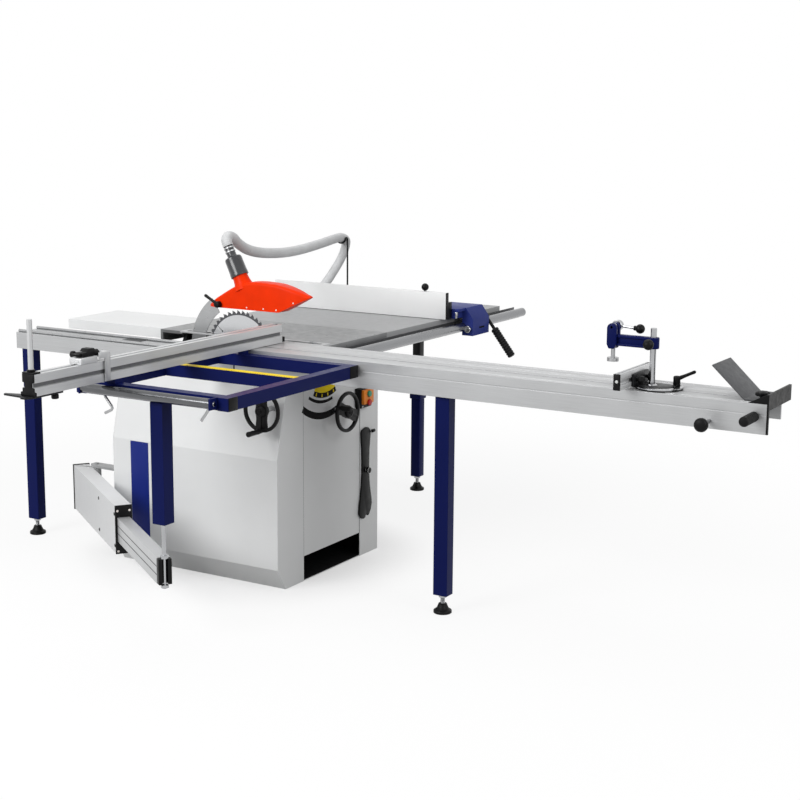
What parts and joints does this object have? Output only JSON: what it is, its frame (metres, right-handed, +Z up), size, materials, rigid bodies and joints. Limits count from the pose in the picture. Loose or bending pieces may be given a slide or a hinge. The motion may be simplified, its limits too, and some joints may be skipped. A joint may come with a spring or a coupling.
{
  "type": "sliding table saw",
  "caption": "Floor-standing sliding table saw with a tilting, rising blade, hooded guard and suction hose, outrigger table on a swing arm, crosscut fence and rip fence",
  "frame": {"origin": "on the floor, in the middle of the cabinet's four anchor holes", "axes": "+X to the operator's right, +Y along the feed, +Z up"},
  "size_m": [2.89, 3.108, 1.2662],
  "materials": {
    "white_paint": "satin powder coat",
    "blue_paint": "satin powder coat",
    "light_blue_paint": "satin powder coat",
    "cast_iron": "ground top, painted edges",
    "grey_sheet": "satin powder coat",
    "aluminium": "brushed, clear anodised",
    "steel": "turned",
    "dark_steel": "oiled black",
    "chrome": "polished",
    "black_plastic": "fine texture",
    "dark_plastic": "fine texture",
    "orange_plastic": "moulded gloss",
    "yellow_plastic": "moulded gloss",
    "green_plastic": "moulded gloss",
    "red_plastic": "moulded gloss",
    "grey_hose": "ribbed flexible plastic",
    "belt_rubber": "ribbed rubber",
    "motor_paint": "satin paint"
  },
  "bodies": {
    "machine": {"cabinet": "white_paint", "left_cover": "white_paint", "dust_outlet": "dark_plastic", "main_table": "cast_iron", "table_insert": "aluminium", "right_extension": "grey_sheet", "rear_extension": "white_paint", "rail_angle": "dark_steel", "fence_rail": "chrome", "extension_leg": "blue_paint", "base_beam": "aluminium", "guide_bars": "steel", "beam_legs": "blue_paint", "levelling_feet": "black_plastic", "switch_box": "yellow_plastic", "hose_hanger": "dark_steel", "suction_hose": "grey_hose", "arm_bracket": "grey_sheet", "trunnion_blocks": "cast_iron"},
    "start_button": {"start_button": "green_plastic"},
    "stop_button": {"stop_button": "red_plastic"},
    "tilt_wheel": {"tilt_wheel": "dark_steel"},
    "tilt_unit": {"trunnion_frame": "cast_iron"},
    "height_wheel": {"height_wheel": "dark_steel"},
    "rise_unit": {"arbor_housing": "cast_iron", "motor": "motor_paint", "drive_belt": "belt_rubber", "riving_knife": "steel", "guard_body": "orange_plastic", "guard_sleeve": "dark_plastic"},
    "blade": {"saw_blade": "steel", "arbor": "steel"},
    "motor_pulley": {"motor_pulley": "steel"},
    "scoring": {"scoring_blade": "steel"},
    "guard_lever": {"guard_lever": "black_plastic"},
    "carriage": {"carriage": "aluminium", "carriage_end": "black_plastic", "push_handle": "black_plastic", "outrigger_frame": "blue_paint", "outrigger_fittings": "black_plastic", "outrigger_post": "blue_paint", "frame_levers": "steel", "ripping_shoe": "dark_steel"},
    "lock_knob": {"lock_knob": "black_plastic"},
    "roller": {"outrigger_roller": "chrome"},
    "crosscut": {"crosscut_fence": "aluminium", "fence_end": "dark_steel"},
    "stop": {"stop_block": "black_plastic"},
    "flip": {"flip_stop": "aluminium"},
    "mitre": {"mitre_gauge": "dark_steel"},
    "mitre_lever": {"mitre_lever": "black_plastic"},
    "clamp_arm": {"clamp_arm": "light_blue_paint"},
    "clamp_lever": {"clamp_lever": "black_plastic"},
    "clamp_spindle": {"clamp_spindle": "steel"},
    "rip": {"fence_carriage": "light_blue_paint", "rip_fence": "aluminium"},
    "fence_lever": {"fence_lever": "black_plastic"},
    "arm": {"swing_arm": "grey_sheet"},
    "arm_slide": {"arm_slide": "aluminium"},
    "push_stick": {"push_stick": "black_plastic"}
  },
  "joints": [
    {"name": "tilt_wheel_turn", "type": "hinge", "parent": "machine", "child": "tilt_wheel", "pos_m": [-0.405, -0.345, 0.677], "axis": [1, 0, 0], "range_deg": [0, 1800]},
    {"name": "blade_tilt", "type": "hinge", "parent": "machine", "child": "tilt_unit", "pos_m": [-0.053, 0, 0.87], "axis": [0, 1, 0], "range_deg": [-0.5, 45.5], "deforming": ["suction_hose"]},
    {"name": "height_wheel_turn", "type": "hinge", "parent": "tilt_unit", "child": "height_wheel", "pos_m": [0.011, -0.44, 0.615], "axis": [0, 1, 0], "range_deg": [-1800, 0]},
    {"name": "blade_rise", "type": "slide", "parent": "tilt_unit", "child": "rise_unit", "axis": [0, 0, 1], "range_m": [-0.1005, 0.0005]},
    {"name": "blade_spin", "type": "hinge", "parent": "rise_unit", "child": "blade", "pos_m": [-0.033, 0.023, 0.812], "axis": [1, 0, 0], "continuous": true},
    {"name": "motor_spin", "type": "hinge", "parent": "rise_unit", "child": "motor_pulley", "pos_m": [0.092, 0.25, 0.65], "axis": [1, 0, 0], "continuous": true},
    {"name": "scoring_spin", "type": "hinge", "parent": "tilt_unit", "child": "scoring", "pos_m": [-0.033, -0.317, 0.833], "axis": [1, 0, 0], "continuous": true},
    {"name": "guard_lever_turn", "type": "hinge", "parent": "rise_unit", "child": "guard_lever", "pos_m": [-0.068, 0.094, 0.992], "axis": [1, 0, 0], "range_deg": [0, 100]},
    {"name": "carriage_slide", "type": "slide", "parent": "machine", "child": "carriage", "axis": [0, 1, 0], "range_m": [0, 1.4]},
    {"name": "lock_turn", "type": "hinge", "parent": "carriage", "child": "lock_knob", "pos_m": [-0.343, -1.957, 0.8], "axis": [1, 0, 0], "continuous": true},
    {"name": "roller_spin", "type": "hinge", "parent": "carriage", "child": "roller", "pos_m": [-1.053, -0.362, 0.838], "axis": [0, 1, 0], "continuous": true},
    {"name": "crosscut_swivel", "type": "hinge", "parent": "carriage", "child": "crosscut", "pos_m": [-0.303, -0.191, 0.872], "axis": [0, 0, 1], "range_deg": [-45, 45]},
    {"name": "stop_slide", "type": "slide", "parent": "crosscut", "child": "stop", "axis": [1, 0, 0], "range_m": [-0.12, 0.8]},
    {"name": "flip_turn", "type": "hinge", "parent": "stop", "child": "flip", "pos_m": [-1.09, -0.191, 0.9663], "axis": [1, 0, 0], "range_deg": [-100, 0]},
    {"name": "mitre_swivel", "type": "hinge", "parent": "carriage", "child": "mitre", "pos_m": [-0.201, -1.757, 0.87], "axis": [0, 0, 1], "range_deg": [-30, 60]},
    {"name": "mitre_lever_turn", "type": "hinge", "parent": "mitre", "child": "mitre_lever", "pos_m": [-0.16, -1.8, 0.878], "axis": [0, 0, 1], "range_deg": [-60, 60]},
    {"name": "clamp_swivel", "type": "hinge", "parent": "mitre", "child": "clamp_arm", "pos_m": [-0.201, -1.732, 0.996], "axis": [0, 0, 1], "range_deg": [0, 90]},
    {"name": "clamp_lever_turn", "type": "hinge", "parent": "clamp_arm", "child": "clamp_lever", "pos_m": [-0.201, -1.595, 1.056], "axis": [1, 0, 0], "range_deg": [-70, 0]},
    {"name": "clamp_press", "type": "slide", "parent": "clamp_arm", "child": "clamp_spindle", "axis": [0, 0, 1], "range_m": [-0.0125, 0.0005]},
    {"name": "rip_fence_slide", "type": "slide", "parent": "machine", "child": "rip", "axis": [1, 0, 0], "range_m": [-0.52, 0.38]},
    {"name": "fence_lever_turn", "type": "hinge", "parent": "rip", "child": "fence_lever", "pos_m": [1.057, -0.472, 0.862], "axis": [1, 0, 0], "range_deg": [-80, 0]},
    {"name": "arm_swing", "type": "hinge", "parent": "machine", "child": "arm", "pos_m": [-0.283, 0.548, 0.16], "axis": [0, 0, 1], "range_deg": [-84.5, 0.4]},
    {"name": "arm_extend", "type": "slide", "parent": "arm", "child": "arm_slide", "axis": [-0.581, -0.8139, 0], "range_m": [-0.3215, 0.002]},
    {"name": "start_press", "type": "slide", "parent": "machine", "child": "start_button", "axis": [0, 1, 0], "range_m": [0, 0.004], "stiffness_N_per_m": 400},
    {"name": "stop_press", "type": "slide", "parent": "machine", "child": "stop_button", "axis": [0, 1, 0], "range_m": [0, 0.004], "stiffness_N_per_m": 400},
    {"name": "push_stick_swing", "type": "hinge", "parent": "machine", "child": "push_stick", "pos_m": [0.222, -0.39, 0.343], "axis": [0, 1, 0], "range_deg": [-15, 15]}
  ],
  "couplings": [
    {"joint": "blade_tilt", "follows": "tilt_wheel_turn", "ratio": 0.025},
    {"joint": "blade_rise", "follows": "height_wheel_turn", "m_per_rad": 0.0031831},
    {"joint": "motor_spin", "follows": "blade_spin", "ratio": 1},
    {"joint": "arm_swing", "follows": "carriage_slide", "rad_per_m": -1.0481},
    {"joint": "arm_extend", "follows": "carriage_slide", "ratio": -0.22825},
    {"joint": "clamp_press", "follows": "clamp_lever_turn", "m_per_rad": 0.0098}
  ]
}
